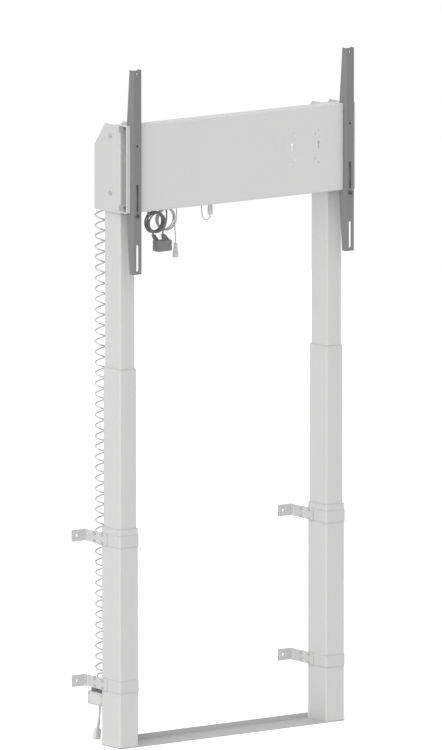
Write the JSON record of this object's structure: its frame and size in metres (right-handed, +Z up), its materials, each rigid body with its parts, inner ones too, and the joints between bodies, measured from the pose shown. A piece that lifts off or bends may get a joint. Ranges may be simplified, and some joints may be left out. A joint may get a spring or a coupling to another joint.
{
  "type": "tv lift mechanism",
  "caption": "Floor-standing, wall-fixed electric television lift: telescopic columns on a base tray carry a channel crossbar with hook-on slotted screen arms and a curly mains cord.",
  "frame": {"origin": "on the floor, midway between the two columns and at the middle of their depth", "axes": "+Z up along the columns, +X to the right along the crossbar seen from the room, +Y towards the wall"},
  "size_m": [0.953, 0.247, 2.107],
  "materials": {
    "column_paint": "fine satin powder coat",
    "tray_paint": "dark grey powder coat",
    "arm_paint": "dark grey powder coat",
    "zinc": "zinc-plated",
    "spindle_steel": "turned",
    "nut_brass": "turned",
    "pale_plastic": "moulded",
    "dark_plastic": "moulded",
    "motor_casing": "satin",
    "pale_cord": "soft jacket",
    "dark_cord": "soft jacket"
  },
  "bodies": {
    "base": {"base_tray": "tray_paint", "base_tray_screws": "zinc", "foot_plates": "zinc", "outer_tube_left": "column_paint", "outer_tube_right": "column_paint", "outer_glides": "pale_plastic", "support_tubes": "zinc", "fixed_nuts": "nut_brass", "column_straps_left": "column_paint", "column_straps_right": "column_paint", "wall_brackets_left": "column_paint", "wall_brackets_right": "column_paint", "strap_screws": "zinc", "junction_box": "pale_plastic", "junction_box_cover": "pale_plastic", "junction_box_screws": "zinc", "mains_sockets": "dark_plastic", "mains_lead": "pale_cord", "mains_plug": "pale_plastic", "curly_cord": "pale_cord", "curly_cord_plug": "pale_plastic"},
    "head": {"inner_tube_left": "column_paint", "inner_tube_right": "column_paint", "inner_glide_pads": "pale_plastic", "tube_caps": "pale_plastic", "gearboxes": "motor_casing", "motors": "motor_casing", "head_bracket_left": "column_paint", "head_bracket_right": "column_paint", "head_screws": "zinc", "cord_gland": "pale_plastic", "crossbar": "column_paint", "crossbar_screws": "zinc", "control_box": "pale_plastic", "control_box_cover": "pale_plastic", "cord_grommets": "dark_plastic", "power_cord": "dark_cord", "power_riser": "dark_cord", "power_block": "dark_plastic", "signal_cord": "pale_cord", "signal_plug": "pale_plastic", "service_connector": "pale_plastic", "service_cord": "pale_cord", "head_lead": "pale_cord"},
    "mid_left": {"mid_tube_left": "column_paint", "mid_glides_left": "pale_plastic", "spindle_carrier_left": "zinc"},
    "hollow_spindle_left": {"hollow_spindle_left": "spindle_steel"},
    "drive_spindle_left": {"drive_spindle_left": "spindle_steel"},
    "arm_left": {"screen_arm_left": "arm_paint", "arm_clamp_left": "arm_paint", "lock_screw_left": "zinc"},
    "mid_right": {"mid_tube_right": "column_paint", "mid_glides_right": "pale_plastic", "spindle_carrier_right": "zinc"},
    "hollow_spindle_right": {"hollow_spindle_right": "spindle_steel"},
    "drive_spindle_right": {"drive_spindle_right": "spindle_steel"},
    "arm_right": {"screen_arm_right": "arm_paint", "arm_clamp_right": "arm_paint", "lock_screw_right": "zinc"}
  },
  "joints": [
    {"name": "lift", "type": "slide", "parent": "base", "child": "head", "axis": [0, 0, 1], "range_m": [-0.96, 0], "deforming": ["curly_cord"]},
    {"name": "mid_left_slide", "type": "slide", "parent": "base", "child": "mid_left", "axis": [0, 0, 1], "range_m": [-0.48, 0]},
    {"name": "hollow_spindle_left_turn", "type": "hinge", "parent": "mid_left", "child": "hollow_spindle_left", "pos_m": [-0.3895, 0, 0.8], "axis": [0, 0, 1], "range_deg": [-14400, 0]},
    {"name": "drive_spindle_left_turn", "type": "hinge", "parent": "head", "child": "drive_spindle_left", "pos_m": [-0.3895, 0, 1.4], "axis": [0, 0, 1], "range_deg": [-28800, 0]},
    {"name": "arm_left_slide", "type": "slide", "parent": "head", "child": "arm_left", "axis": [1, 0, 0], "range_m": [0, 0.3]},
    {"name": "mid_right_slide", "type": "slide", "parent": "base", "child": "mid_right", "axis": [0, 0, 1], "range_m": [-0.48, 0]},
    {"name": "hollow_spindle_right_turn", "type": "hinge", "parent": "mid_right", "child": "hollow_spindle_right", "pos_m": [0.3895, 0, 0.8], "axis": [0, 0, 1], "range_deg": [-14400, 0]},
    {"name": "drive_spindle_right_turn", "type": "hinge", "parent": "head", "child": "drive_spindle_right", "pos_m": [0.3895, 0, 1.4], "axis": [0, 0, 1], "range_deg": [-28800, 0]},
    {"name": "arm_right_slide", "type": "slide", "parent": "head", "child": "arm_right", "axis": [1, 0, 0], "range_m": [-0.3, 0]}
  ],
  "couplings": [
    {"joint": "mid_left_slide", "follows": "lift", "ratio": 0.5},
    {"joint": "hollow_spindle_left_turn", "follows": "lift", "rad_per_m": 261.8},
    {"joint": "drive_spindle_left_turn", "follows": "lift", "rad_per_m": 523.6},
    {"joint": "mid_right_slide", "follows": "lift", "ratio": 0.5},
    {"joint": "hollow_spindle_right_turn", "follows": "lift", "rad_per_m": 261.8},
    {"joint": "drive_spindle_right_turn", "follows": "lift", "rad_per_m": 523.6}
  ]
}
